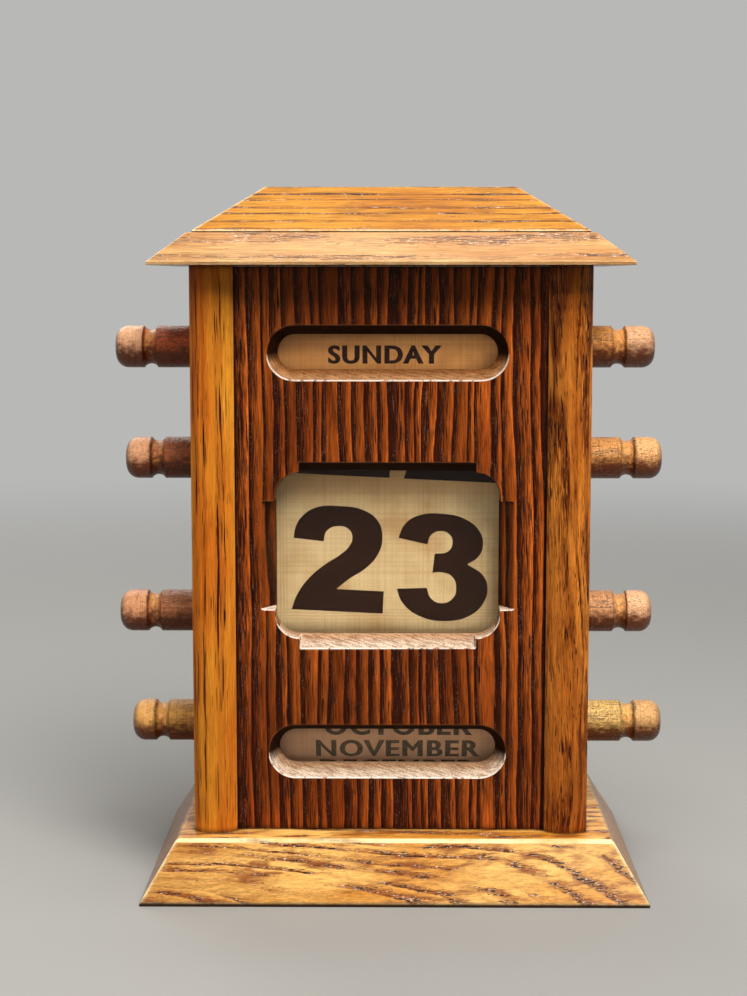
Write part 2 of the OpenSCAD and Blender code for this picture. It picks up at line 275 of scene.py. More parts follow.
# The kind of a group's socket follows from its value: a number, a colour, or None for a place.
def newGroup(name, inputs, outputs):
    tree = work["tree"] = bpy.data.node_groups.new(name, "ShaderNodeTree")
    kinds = {float: "Float", tuple: "Color", type(None): "Vector"}
    for label, value in inputs.items():
        kind = kinds[type(value)]
        socket = tree.interface.new_socket(label, in_out="INPUT", socket_type="NodeSocket" + kind)
        if value is not None:
            socket.default_value = (*value, 1.0) if kind == "Color" else value
    for label, kind in outputs.items():
        tree.interface.new_socket(label, in_out="OUTPUT", socket_type="NodeSocket" + kind)
    return tree, tree.nodes.new("NodeGroupInput").outputs, tree.nodes.new("NodeGroupOutput").inputs


def useGroup(group, inputs):
    return put("Group", inputs, node_tree=group).outputs


def newMaterial(name):
    material = bpy.data.materials.new(name)
    material.use_nodes = True
    work["tree"] = material.node_tree
    return material, material.node_tree.nodes["Principled BSDF"]


# The oak's figure from a place in mm, with the grain along X and the heart of the tree at Y = Z = 0.
def makeOakGroup():
    inputs = {
        "Vector": None, "End Grain": 0.0, "Ring Width": 2.4, "Wander": 3.0, "Ragged": 0.5,
        "Early Share": 0.4, "Early Depth": 0.6, "Softness": 0.25, "Pore Length": 14.0, "Pore Width": 0.5,
        "Pore Share": 0.6, "Pore Spread": 0.2, "Pore Depth": 1.0, "Ring Tone": 0.3, "Mottle": 0.3,
        "Clusters": 0.0, "Cluster Length": 25.0, "Glint": 0.3, "Fibre Depth": 0.25, "Drift": 0.5,
        "Light": (0.8, 0.4, 0.1), "Shade": (0.6, 0.25, 0.06), "Dark": (0.5, 0.2, 0.05),
        "Pore": (0.1, 0.03, 0.01), "End": (0.3, 0.12, 0.04),
    }
    outputs = {"Colour": "Color", "Height": "Float", "Roughness": "Float"}
    group, given, result = newGroup("oak", inputs, outputs)
    place = given["Vector"]

    def sway(scale, amount):
        noise = cloudy(place, 2.0, stretch=scale, output="Color")
        centred = vec("MULTIPLY", vec("SUBTRACT", noise, (0.5, 0.5, 0.5)), (0, 1, 1))
        return put("VectorMath", {0: centred, "Scale": amount}, operation="SCALE").outputs["Vector"]

    bent = vec("ADD", place, sway((0.014, 0.05, 0.05), given["Wander"]))
    bent = vec("ADD", bent, sway((0.07, 0.4, 0.4), times(given["Ragged"], 1.1)))
    across = vec("MULTIPLY", bent, (0, 1, 1))
    radius = put("VectorMath", {0: across}, operation="LENGTH").outputs["Value"]
    turn = calc("DIVIDE", radius, given["Ring Width"])
    swell = waves(turn, 0.45, 1.0)
    streak = cloudy(place, 4.0, 0.65, stretch=(0.11, 3.0, 3.0))
    flame = cloudy(place, 2.0, 0.6, stretch=(0.2, 5.0, 5.0))
    turn = timesPlus(swell, 1.4, turn)
    turn = timesPlus(streak, times(given["Ragged"], 0.6), turn)
    phase = calc("FRACT", turn)
    ring = chance(calc("FLOOR", turn))
    width = times(given["Early Share"], timesPlus(ring, 0.8, 0.6))
    band = minus(1.0, calc("DIVIDE", phase, width))
    band = calc("MAXIMUM", band, -0.9)
    torn = times(minus(flame, 0.5), times(given["Ragged"], 3.2))
    band = plus(band, torn)
    early = fade(band, minus(0.2, given["Softness"]), plus(0.2, given["Softness"]))
    early = times(early, fade(phase, 0.0, 0.07))
    along = calc("DIVIDE", 1.0, given["Cluster Length"])
    stretch = put("CombineXYZ", {0: along, 1: 0.22, 2: 0.22}).outputs[0]
    cluster = fade(cloudy(bent, 2.0, 0.5, stretch=stretch), 0.41, 0.54)
    between = times(minus(1.0, cluster), given["Clusters"])
    early = times(early, minus(1.0, between))

    # Vessels cut lengthwise: long thin grooves, crowded in the early wood, and the rims round them, where
    # painted glints go.
    def vessels(length, width, crowd):
        along, across = (calc("DIVIDE", 1.0, size) for size in (length, width))
        cell = put("CombineXYZ", {0: along, 1: across, 2: across}).outputs[0]
        found = put("TexVoronoi", {"Vector": vec("MULTIPLY", bent, cell), "Scale": 1.0}).outputs
        lot = put("SeparateColor", {"Color": found["Color"]}).outputs
        size = timesPlus(early, minus(0.48, given["Pore Spread"]), given["Pore Spread"])
        size = times(size, timesPlus(lot[1], 0.7, 0.6))
        there = calc("LESS_THAN", lot[0], crowd)
        groove = fade(found["Distance"], size, times(size, 0.7))
        around = fade(found["Distance"], times(size, 1.5), times(size, 1.1))
        return times(groove, there), times(around, there)

    large, rim = vessels(given["Pore Length"], given["Pore Width"], given["Pore Share"])
    small, _ = vessels(times(given["Pore Length"], 0.45), times(given["Pore Width"], 0.55),
                       times(given["Pore Share"], 0.7))
    pores = calc("MAXIMUM", large, times(small, 0.75))
    sparkle = cloudy(place, 2.0, 0.7, stretch=(1.6, 4.0, 4.0))
    glint = times(minus(rim, pores, clamp=True), fade(sparkle, 0.51, 0.61))

    fibre = cloudy(place, 3.0, 0.65, stretch=(0.35, 8, 8))
    drift = cloudy(place, 2.0, stretch=(0.02, 0.13, 0.13))
    colour = mixColour(fade(drift, 0.36, 0.68, 0.0, given["Drift"]), given["Light"], given["Shade"])
    colour = mixColour(times(early, given["Early Depth"]), colour, given["Dark"])
    grey = timesPlus(minus(streak, 0.5), 1.8, minus(fibre, 0.5))
    grey = timesPlus(grey, given["Fibre Depth"], 1.0)
    grey = timesPlus(minus(ring, 0.5), given["Ring Tone"], grey)
    colour = tinted(colour, greyOf(grey))
    stain = cloudy(bent, 4.0, 0.6, stretch=(0.09, 0.6, 0.6))
    stained = times(fade(stain, 0.44, 0.66), times(given["Mottle"], minus(1.0, between)))
    colour = mixColour(stained, colour, given["Dark"])
    colour = mixColour(times(pores, given["Pore Depth"]), colour, given["Pore"])
    # Painted glints: pale specks on some pore rims
    colour = mixColour(times(glint, given["Glint"]), colour, (0.95, 0.82, 0.66))
    endShare = fade(given["End Grain"], 0.45, 0.85, 0.0, 0.7)
    colour = mixColour(endShare, colour, given["End"])
    wire(colour, result["Colour"])
    dips = timesPlus(pores, -1.0, times(fibre, 0.3))
    wire(timesPlus(early, -0.15, dips), result["Height"])
    wire(timesPlus(pores, 0.15, times(fibre, 0.16)), result["Roughness"])
    return group


# How near a point is to an edge, where wear and a painted highlight go, and how deep in a corner, where
# grime and painted shade go, both 0 to 1.
def makeEdgeGroup():
    group, given, result = newGroup("edgesAndCorners",
                                    {"Radius": 0.0006, "Reach": 0.0018, "Vector": None},
                                    {"Worn": "Float", "Grime": "Float"})
    flat = put("NewGeometry").outputs["Normal"]
    rounded = put("Bevel", {"Radius": given["Radius"]}, samples=4).outputs[0]
    same = put("VectorMath", {0: flat, 1: rounded}, operation="DOT_PRODUCT").outputs["Value"]
    patches = cloudy(given["Vector"], 3.0, 0.6, 0.6)
    edge = fade(same, 0.997, 0.93)
    wire(times(edge, fade(patches, 0.25, 0.6)), result["Worn"])
    # Painted shade and grime: darker deep in corners, by ambient occlusion
    openness = put("AmbientOcclusion", {"Distance": given["Reach"]}, samples=6).outputs["AO"]
    wire(times(fade(openness, 0.9, 0.5), fade(patches, 0.2, 0.55, 0.5, 1.0)), result["Grime"])
    return group


# A plain weave from a flat place in mm.
def makeWeaveGroup():
    group, given, result = newGroup("weave", {"Vector": None, "Pitch": 0.4},
                                    {"Height": "Float", "Shade": "Float"})
    threads = put("VectorMath", {0: given["Vector"], "Scale": calc("DIVIDE", 1.0, given["Pitch"])},
                  operation="SCALE").outputs["Vector"]
    uneven = cloudy(given["Vector"], 1.0, 0.5, 0.35, output="Color")
    threads = vec("ADD", threads, uneven)
    across, along, _ = apart(threads)
    humps = [calc("ABSOLUTE", calc("SINE", times(t, math.pi))) for t in (across, along)]
    over = plus(calc("FLOOR", across), calc("FLOOR", along))
    over = calc("PINGPONG", over, 1.0)
    height = plus(times(humps[0], over), times(humps[1], minus(1.0, over)))
    bands = [waves(calc("FLOOR", t), 0.9) for t in (across, along)]
    threads = [chance(calc("FLOOR", t)) for t in (across, along)]
    wire(height, result["Height"])
    wire(timesPlus(plus(*threads), 0.15, times(plus(*bands), 0.35)), result["Shade"])
    return group


oakGroup = makeOakGroup()
edgeGroup = makeEdgeGroup()
weaveGroup = makeWeaveGroup()
print("shader groups made")


# Object coordinates in mm, turned so that the grain runs along X through the tree's heart at Y = Z = 0.
def grainPlace(grain, heart, slide):
    turn = Vector(grain).rotation_difference(Vector((1, 0, 0))).to_matrix()
    spot = Vector((slide, 0, 0)) - turn @ Vector(heart)
    return put("Mapping", {"Vector": objectSpot(), "Location": spot, "Rotation": turn.to_euler(),
                           "Scale": inMm}).outputs[0]


# A look's values under the names of the oak group's sockets: ringWidth fills Ring Width.
def oakInputs(look):
    labels = [item.name for item in oakGroup.interface.items_tree if item.in_out == "INPUT"]
    keys = {label: label[0].lower() + label[1:].replace(" ", "") for label in labels}
    return {label: look[key] for label, key in keys.items() if key in look}


def oakMaterial(name, look):
    material, shader = newMaterial(name)
    place = grainPlace(look["grain"], look["heart"], look["slide"])
    wood = useGroup(oakGroup, {"Vector": place, "End Grain": marked("endGrain"), **oakInputs(look)})
    edges = useGroup(edgeGroup, {"Radius": look["wornReach"] * mm, "Vector": place})
    # Painted highlight: a pale, broken band along the marked arris faces
    arris = times(marked("arris"), fade(cloudy(place, 3.0, 0.6, 0.09), 0.38, 0.62, 0.3, 0.95))
    worn = times(calc("MAXIMUM", edges["Worn"], arris), look["wear"])
    colour = wood["Colour"]
    # Painted light: faces that look straight up are made lighter
    if look["topGain"]:
        level = fade(marked("upward"), 0.985, 0.995)
        colour = mixColour(level, colour, tinted(colour, look["topGain"]))
    # Darker towards each given coordinate
    for axis, start, end, share in look["aged"]:
        aged = fade(apart()[axis], start * mm, end * mm, 0.0, share)
        colour = mixColour(aged, colour, look["dark"])
    # Pale edges: part wear, part painted highlight
    colour = mixColour(worn, colour, look["worn"])
    # Painted shade and grime in corners
    colour = mixColour(times(edges["Grime"], 0.8), colour, look["pore"])
    # Painted shadow: a dark line at the foot of the board, below the given heights
    if look["grime"]:
        low, high = (level * mm for level in look["grime"])
        colour = mixColour(fade(apart()[2], high, low, 0.0, 0.95), colour, look["pore"])
    give(shader, {"Base Color": colour, "Roughness": plus(wood["Roughness"], look["roughness"]),
                  "Specular IOR Level": look["shine"], "Specular Tint": look["sheen"],
                  "Coat Weight": look["varnish"], "Coat Roughness": look["varnishBlur"],
                  "Normal": bumps(wood["Height"], look["relief"], look["reliefDepth"])})
    return material


# What a finish says when it says nothing else.
commonOak = {
    "grain": (1, 0, 0), "heart": (0, 20, -20), "slide": 0.0, "ringWidth": 2.4, "wander": 5.0,
    "ragged": 0.5, "earlyShare": 0.4, "earlyDepth": 0.5, "softness": 0.25, "poreLength": 14.0,
    "poreWidth": 0.5, "poreShare": 0.6, "poreSpread": 0.2, "poreDepth": 0.9, "ringTone": 0.2,
    "fibreDepth": 0.5, "drift": 0.5, "mottle": 0.3, "clusters": 0.0, "clusterLength": 25.0, "glint": 0.3,
    "grime": None, "topGain": None, "aged": [], "light": (0.8, 0.4, 0.1), "shade": (0.6, 0.26, 0.06),
    "dark": (0.5, 0.2, 0.05), "pore": (0.12, 0.04, 0.02), "end": (0.33, 0.14, 0.05),
    "worn": (0.85, 0.5, 0.22), "wear": 0.5, "roughness": 0.16, "relief": 0.9, "reliefDepth": 0.12,
    "shine": 0.22, "sheen": (1, 0.72, 0.48), "wornReach": 0.5, "varnish": 0.06, "varnishBlur": 0.08,
}


def oakFinish(name, own):
    return oakMaterial(name, {**commonOak, **own})


# A softened board with its end grain marked and its finish on.
def makeBoard(nodeName, pieceName, material, look, grain):
    piece = nodeCopy(nodeName, pieceName, "root")
    softenBoard(piece, look["arris"])
    markEndGrain(piece, Vector(grain))
    coat(piece.data, oakFinish(material, look))
    return piece


# Base, side boards, roof

# The base's pale edge colour on its arris slopes paints a highlight as well as wear; its foot heights
# paint a contact shadow; its top gain paints light on the level top.
baseLook = {
    "topRound": 0.9, "roundSteps": 4, "arris": 0.3, "wornSlopes": (0.56, 0.98), "caseMiddle": 0.9,
    "caseHalfWidth": 47, "caseHalfDepth": 28, "grain": (0.988, 0.134, -0.081),
    "heart": (-60, -37.4, -0.9), "slide": 31.0, "ringWidth": 1.8, "wander": 6.0, "ragged": 0.6,
    "earlyShare": 0.5, "earlyDepth": 0.9, "softness": 0.5, "poreLength": 15.0, "poreWidth": 0.38,
    "poreShare": 0.85, "poreSpread": 0.03, "poreDepth": 1.0, "drift": 1.0, "mottle": 0.85,
    "clusters": 0.8, "clusterLength": 26.0, "glint": 0.9, "fibreDepth": 1.0, "light": (0.88, 0.48, 0.13),
    "shade": (0.60, 0.24, 0.03), "dark": (0.22, 0.046, 0.006), "pore": (0.020, 0.004, 0.001),
    "worn": (1.0, 0.84, 0.46), "wear": 1.0, "wornReach": 1.3, "relief": 1.0, "grime": (0.45, 1.3),
    "topGain": (1.25, 1.3, 1.3), "aged": [("X", -15, -58, 0.32), ("X", 48, 62, 0.15)],
}


def makeBase():
    piece = nodeCopy("base_plinth", "basePlinth", "root")
    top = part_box("base_plinth")[1].z

    # The rim of the level top, but not the edges that the case covers
    def onRim(middle, way):
        beside = abs(middle.x - baseLook["caseMiddle"] * mm) > baseLook["caseHalfWidth"] * mm
        outside = beside or abs(middle.y) > baseLook["caseHalfDepth"] * mm
        return outside and abs(middle.z - top) < 0.01 * mm and max(abs(way.x), abs(way.y)) > 0.999

    roundEdges(piece, baseLook["topRound"], baseLook["roundSteps"], onRim)
    softenBoard(piece, baseLook["arris"])
    markEndGrain(piece, Vector((1, 0, 0)))
    markUpward(piece)
    least, most = baseLook["wornSlopes"]
    # Marks the arris slopes at the front, which get a painted highlight
    markFaces(piece, "arris", lambda normal: least < normal.z < most and normal.y < -0.1)
    coat(piece.data, oakFinish("baseOak", baseLook))


leftLook = {
    "arris": 0.25, "grain": (0, 0.004, 1), "heart": (-190, 40, 0), "slide": 120.0, "ringWidth": 3.0,
    "wander": 3.0, "ragged": 0.4, "earlyShare": 0.6, "earlyDepth": 0.4, "softness": 0.2,
    "poreLength": 20.0, "poreWidth": 0.42, "poreShare": 0.5, "poreSpread": 0.2, "poreDepth": 1.0,
    "drift": 0.9, "mottle": 0.25, "clusters": 0.3, "clusterLength": 40.0, "glint": 0.05,
    "fibreDepth": 0.7, "light": (0.99, 0.40, 0.032), "shade": (0.76, 0.18, 0.014),
    "dark": (0.42, 0.065, 0.004), "pore": (0.035, 0.004, 0.001), "shine": 0.14, "sheen": (1, 0.62, 0.35),
    "aged": [("Z", 70, 25, 0.33), ("Z", 100, 118, 0.12)],
}
rightLook = {
    "arris": 0.25, "grain": (-0.03, 0.02, 1), "heart": (70, 22, 0), "slide": -60.0, "ringWidth": 2.2,
    "wander": 9.0, "ragged": 1.0, "earlyShare": 0.55, "earlyDepth": 0.85, "softness": 0.14,
    "poreLength": 8.0, "poreWidth": 0.42, "poreShare": 0.85, "poreSpread": 0.17, "poreDepth": 1.0,
    "drift": 0.8, "mottle": 0.6, "clusters": 0.6, "clusterLength": 22.0, "glint": 0.05, "fibreDepth": 1.0,
    "light": (0.80, 0.27, 0.036), "shade": (0.50, 0.125, 0.012), "dark": (0.16, 0.022, 0.002),
    "pore": (0.022, 0.003, 0.001), "shine": 0.14, "sheen": (1, 0.62, 0.35), "aged": [("Z", 42, 22, 0.33)],
}


def makeSideBoards():
    left = makeBoard("side_board_left", "sideBoardLeft", "leftBoardOak", leftLook, (0, 0, 1))
    right = makeBoard("side_board_right", "sideBoardRight", "rightBoardOak", rightLook, (0, 0, 1))


# The eaves' pale edge colour paints a highlight along its edges as well as wear.
eavesLook = {
    "arris": 0.22, "heart": (0, -12.2, 132.8), "slide": -15.0, "ringWidth": 1.8, "wander": 1.5,
    "ragged": 0.5, "earlyShare": 0.6, "earlyDepth": 0.6, "softness": 0.5, "poreLength": 6.0,
    "poreWidth": 0.36, "poreShare": 0.85, "poreSpread": 0.10, "poreDepth": 0.8, "drift": 1.0,
    "mottle": 0.25, "clusters": 0.6, "clusterLength": 30.0, "glint": 0.8, "fibreDepth": 1.0,
    "light": (0.62, 0.365, 0.150), "shade": (0.49, 0.225, 0.068), "dark": (0.38, 0.17, 0.072),
    "pore": (0.09, 0.034, 0.020), "worn": (0.95, 0.72, 0.42), "wear": 0.9,
}
# The cap's pale edge colour paints a highlight as well as wear, and its foot heights paint the shadow
# line where it sits on the eaves.
capLook = {
    "arris": 0.3, "heart": (0, -74.6, 112), "slide": 55.0, "ringWidth": 2.9, "wander": 2.0, "ragged": 0.6,
    "earlyShare": 0.3, "earlyDepth": 1.0, "softness": 0.4, "poreLength": 9.0, "poreWidth": 0.42,
    "poreShare": 0.8, "poreSpread": 0.10, "poreDepth": 1.0, "drift": 0.9, "mottle": 0.5, "clusters": 0.5,
    "clusterLength": 45.0, "glint": 0.9, "fibreDepth": 1.0, "light": (0.59, 0.250, 0.024),
    "shade": (0.43, 0.146, 0.011), "dark": (0.13, 0.034, 0.006), "pore": (0.03, 0.008, 0.004),
    "worn": (0.98, 0.74, 0.42), "wear": 1.0, "wornReach": 1.2, "grime": (145.65, 145.9),
}


def makeRoof():
    eaves = makeBoard("eaves_board", "eavesBoard", "eavesOak", eavesLook, (1, 0, 0))
    cap = makeBoard("roof_cap", "roofCap", "capOak", capLook, (1, 0, 0))


# Front and back panel

panelLook = {
    "arris": 0.26, "sharp": 20, "wornSlopes": (0.56, 0.985),
    "sawnSlopes": (0.1, 0.5), "sawnEdge": 0.1, "sawPitch": 0.55, "sawTurn": 26,
    "sawnLight": (0.89, 0.72, 0.56), "sawnDark": (0.38, 0.215, 0.13), "inner": (0.64, 0.40, 0.20),
    "innerFrom": (-20.2, -17.0), "stainLight": (0.022, 0.007, 0.003), "stainDark": (0.005, 0.0015, 0.001),
    "rim": (1.0, 0.86, 0.74), "rimWear": 1.0, "rimBreaks": 0.8, "dimLight": (0.78, 0.40, 0.17),
    "dimDark": (0.28, 0.11, 0.040), "dimAbove": (0.095, 0.115), "grain": (-0.01, 0.007, 1),
    "heart": (-190, 30, 0), "slide": 10.0, "ringWidth": 2.7, "wander": 5.0, "ragged": 0.45,
    "earlyShare": 0.85, "earlyDepth": 1.0, "softness": 0.6, "poreLength": 9.0, "poreWidth": 0.45,
    "poreShare": 0.6, "poreSpread": 0.1, "poreDepth": 0.9, "ringTone": 1.0, "fibreDepth": 1.0,
    "drift": 0.85, "mottle": 0.35, "glint": 0.1, "light": (0.92, 0.200, 0.026),
    "shade": (0.42, 0.070, 0.010), "dark": (0.030, 0.0045, 0.0015),
    "aged": [("X", -30.5, -27.5, 0.2), ("Z", 64, 30, 0.28)], "pore": (0.008, 0.0015, 0.001),
    "end": (0.42, 0.22, 0.12), "worn": (0.6, 0.2, 0.06), "wear": 0.5, "shine": 0.14,
    "sheen": (1, 0.6, 0.35), "varnish": 0.04,
}
backLook = {
    "arris": 0.2, "grain": (-0.02, 0.02, 1), "heart": (10, -60, 0), "slide": -20.0, "ringWidth": 3.4,
    "wander": 7.0, "earlyShare": 0.5, "earlyDepth": 0.7, "poreLength": 8.0, "light": (0.46, 0.18, 0.055),
    "shade": (0.34, 0.12, 0.035), "dark": (0.26, 0.08, 0.024), "pore": (0.07, 0.02, 0.008),
    "roughness": 0.3, "varnish": 0.1,
}


def frontPanelMaterial():
    material = oakFinish("frontPanelOak", panelLook)
    shader = material.node_tree.nodes["Principled BSDF"]
    wood = shader.inputs["Base Color"].links[0].from_socket
    turned = put("Mapping", {"Vector": objectSpot(),
                             "Rotation": (0, 0, math.radians(panelLook["sawTurn"])),
                             "Scale": inMm}).outputs[0]
    saw = cloudy(turned, 3.0, 0.65, stretch=(0.35, 1 / panelLook["sawPitch"], 0.6))
    fuzz = cloudy(turned, 2.0, 0.7, 3.5)
    tone = fade(timesPlus(fuzz, 0.5, times(saw, 0.6)), 0.42, 0.66)
    pale = mixColour(tone, panelLook["sawnDark"], panelLook["sawnLight"])
    # Painted shade: sawn faces that look down are nearly black
    shadedSawn = mixColour(tone, panelLook["stainDark"], panelLook["stainLight"])
    upward = marked("upward")
    _, depth, height = apart()
    # Painted shade: sawn faces above the given height, in the eaves' shadow, are darker
    dim = mixColour(tone, panelLook["dimDark"], panelLook["dimLight"])
    pale = mixColour(fade(height, *panelLook["dimAbove"]), pale, dim)
    # Painted shade: the flares darken deeper in the windows
    front, inside = (place * mm for place in panelLook["innerFrom"])
    pale = mixColour(fade(depth, front, inside, 0.0, 0.75), pale, tinted(pale, panelLook["inner"]))
    sawn = mixColour(fade(upward, 0.5, 0.75), shadedSawn, pale)
    dry = marked("sawn")
    colour = mixColour(dry, wood, sawn)
    # Painted highlight: a pale, broken line along the edges and arris faces that look up
    near = useGroup(edgeGroup, {"Radius": 0.6 * mm, "Vector": turned})["Worn"]
    broken = fade(cloudy(turned, 1.0, 0.5, panelLook["rimBreaks"]), 0.34, 0.46, 0.25, 1.0)
    rim = times(calc("MAXIMUM", near, marked("arris")), fade(upward, 0.5, 0.56))
    rim = times(rim, broken)
    colour = mixColour(times(rim, panelLook["rimWear"]), colour, panelLook["rim"])
    gloss = shader.inputs["Roughness"].links[0].from_socket
    give(shader, {"Base Color": colour, "Roughness": timesPlus(dry, 0.5, gloss),
                  "Coat Weight": timesPlus(dry, -0.04, 0.04)})
    return material


def makePanels():
    front = nodeCopy("front_panel", "frontPanel", "root")
    softenBoard(front, panelLook["arris"], panelLook["sharp"])
    markEndGrain(front, Vector((0, 0, 1)))
    markUpward(front)
    least, most = panelLook["wornSlopes"]
    # Marks the arris slopes that look up, which get the painted highlight
    markFaces(front, "arris", lambda normal: least < -normal.y < most and normal.z > 0.05)

    # Sawn: the flares' steep faces and the level ones in the windows; the next band is so in part
    def sawnShare(normal):
        steepest, steep = panelLook["sawnSlopes"]
        if steep < -normal.y < least:
            return panelLook["sawnEdge"]
        return steepest < -normal.y < steep or abs(normal.z) > 0.5 and abs(normal.y) < 0.5

    markFaces(front, "sawn", sawnShare)
    coat(front.data, frontPanelMaterial())
    back = makeBoard("back_panel", "backPanel", "backPanelOak", backLook, (0, 0, 1))


makeBase()
makeSideBoards()
makeRoof()
makePanels()
print("boards made")


# Turned spindles: grain along X, torn by the turning, rubbed heads, grimy lines with painted shade beside
# the grooves, and painted shade on each spindle's lower side

# Each spindle's left and right ends have their own colours: partly the wood's own tone, partly painted
# light and shade, as the case shades the left shafts and the lamps light the two ends unevenly.
spindleLook = {
    "day_spindle": {
        "shift": -1.4, "heads": (6.4, 6.7), "line": 0.4,
        "shafts": ((0.80, 0.14, 0.030), (0.98, 0.40, 0.09)),
        "tips": ((0.92, 0.49, 0.27), (0.62, 0.335, 0.18))},
    "date_upper_spindle": {
        "shift": 0.6, "heads": (5.8, 6.3), "line": 0.8,
        "shafts": ((0.56, 0.14, 0.045), (0.95, 0.42, 0.11)),
        "tips": ((0.95, 0.47, 0.24), (0.85, 0.43, 0.17))},
    "date_lower_spindle": {
        "shift": -1.2, "heads": (6.4, 5.8), "line": 0.4,
        "shafts": ((0.62, 0.21, 0.085), (0.90, 0.42, 0.18)),
        "tips": ((0.85, 0.38, 0.18), (0.90, 0.50, 0.27))},
    "month_spindle": {
        "shift": 1.4, "heads": (5.3, 6.3), "line": 0.8,
        "shafts": ((0.98, 0.48, 0.095), (0.99, 0.62, 0.19)),
        "tips": ((0.95, 0.485, 0.14), (0.69, 0.365, 0.14))},
}
knobShape = {"length": 122.5, "radius": 4.75, "cove": 3.2, "gold": (0.90, 0.42, 0.12),
             "dirt": (0.20, 0.075, 0.04), "grime": (0.045, 0.012, 0.005), "relief": 0.18,
             "shine": 0.65, "sheen": (1, 0.75, 0.5), "pith": (1.0, -2.0), "slide": 7}


def spindleMaterial(name, look, axis):
    material, shader = newMaterial(name)
    behind, under = knobShape["pith"]
    place = grainPlace((1, 0, 0), (0, axis.y / mm + behind, axis.z / mm + under),
                       look["shift"] * knobShape["slide"])
    x, _, z = apart()
    along = minus(times(x, 1000), look["shift"])
    up = calc("DIVIDE", minus(z, axis.z), knobShape["radius"] * mm)
    # Left and right colours: partly painted light and shade
    right = calc("GREATER_THAN", along, 0.0)
    shaft = mixColour(right, *look["shafts"])
    tip = mixColour(right, *look["tips"])
    shade, dark, pore = (tinted(shaft, (share, share, share)) for share in (0.7, 0.5, 0.2))
    wood = useGroup(oakGroup, {
        "Vector": place, "Ring Width": 1.6, "Wander": 2.0, "Early Share": 0.4, "Early Depth": 0.5,
        "Pore Length": 5.0, "Pore Width": 0.35, "Pore Share": 0.7, "Pore Depth": 0.6, "Fibre Depth": 0.7,
        "Glint": 0.3, "Light": shaft, "Shade": shade, "Dark": dark, "Pore": pore})

    out = calc("ABSOLUTE", along)
    ends = [knobShape["length"] / 2 - head for head in look["heads"]]
    headStart = timesPlus(right, ends[1] - ends[0], ends[0])
    inward = minus(headStart, out)
    patches = cloudy(place, 3.0, 0.6, stretch=(0.5, 0.9, 0.9))
    inCove = times(fade(inward, 0.2, 0.8), fade(inward, knobShape["cove"] - 0.2, knobShape["cove"] - 1.0))
    colour = mixColour(times(inCove, fade(patches, 0.35, 0.6)), wood["Colour"], knobShape["gold"])
    rubbed = times(fade(inward, 0.1, -0.4), fade(patches, 0.15, 0.5, 0.45, 1.0))
    colour = mixColour(times(rubbed, 0.9), colour, tip)

    # Painted shade: each spindle is darker on the side that lies lowest at rest
    shadedSide = timesPlus(minus(patches, 0.5), 1.6, up)
    colour = mixColour(fade(shadedSide, 0.3, -0.4), colour, tinted(colour, knobShape["dirt"]))

    # Fine tears along the grain, and rings that the turning tool left
    tears = cloudy(place, 3.0, 0.6, stretch=(1.3, 4.6, 4.6))
    cracks = times(fade(tears, 0.56, 0.63), fade(patches, 0.36, 0.52))
    rings = waves(out, 2.6, 3.0, 0.7)
    dents = cloudy(place, 2.0, 0.6, stretch=(1.6, 1.1, 1.1))
    wobble = timesPlus(minus(dents, 0.5), 0.9, inward)
    edges = (calc("ABSOLUTE", minus(wobble, 0.12)), calc("ABSOLUTE", minus(wobble, knobShape["cove"])))
    # Dark lines beside the head and the cove, at the tip's end and in the cracks: part grime, part
    # painted shade
    grime = times(fade(edges[0], look["line"], 0.0), fade(patches, 0.3, 0.6, 0.4, 1.0))
    grime = calc("MAXIMUM", grime, fade(edges[1], 0.3, 0.0, 0.0, 0.6))
    tipEnd = knobShape["length"] / 2
    grime = calc("MAXIMUM", grime, fade(out, tipEnd - 1.6, tipEnd, 0.0, 0.6))
    grime = calc("MAXIMUM", grime, times(cracks, 0.7))
    colour = mixColour(times(grime, 0.85), colour, knobShape["grime"])
    # Painted shade and grime in corners
    corner = useGroup(edgeGroup, {"Vector": place})["Grime"]
    colour = mixColour(times(corner, 0.6), colour, knobShape["grime"])
    grey = timesPlus(plus(rings, tears), 0.9, 0.25)
    height = timesPlus(rings, 0.4, timesPlus(cracks, -1.0, tears))
    height = timesPlus(dents, 0.9, height)
    give(shader, {"Base Color": tinted(colour, greyOf(grey)), "Roughness": timesPlus(tears, 0.3, 0.10),
                  "Specular IOR Level": knobShape["shine"], "Specular Tint": knobShape["sheen"],
                  "Normal": bumps(height, 1.0, knobShape["relief"])})
    return material


for nodeName, look in spindleLook.items():
    material = nodeName.title().replace("_", "") + "Wood"
    axis = axisOf[nodeName.replace("spindle", "spin")]
    coat(nodes[nodeName].data, spindleMaterial(material, look, axis))
print("spindles finished")


# Linen

clothLook = {"pitch": 0.36, "relief": 0.06, "roughness": 0.75, "shine": 0.25}


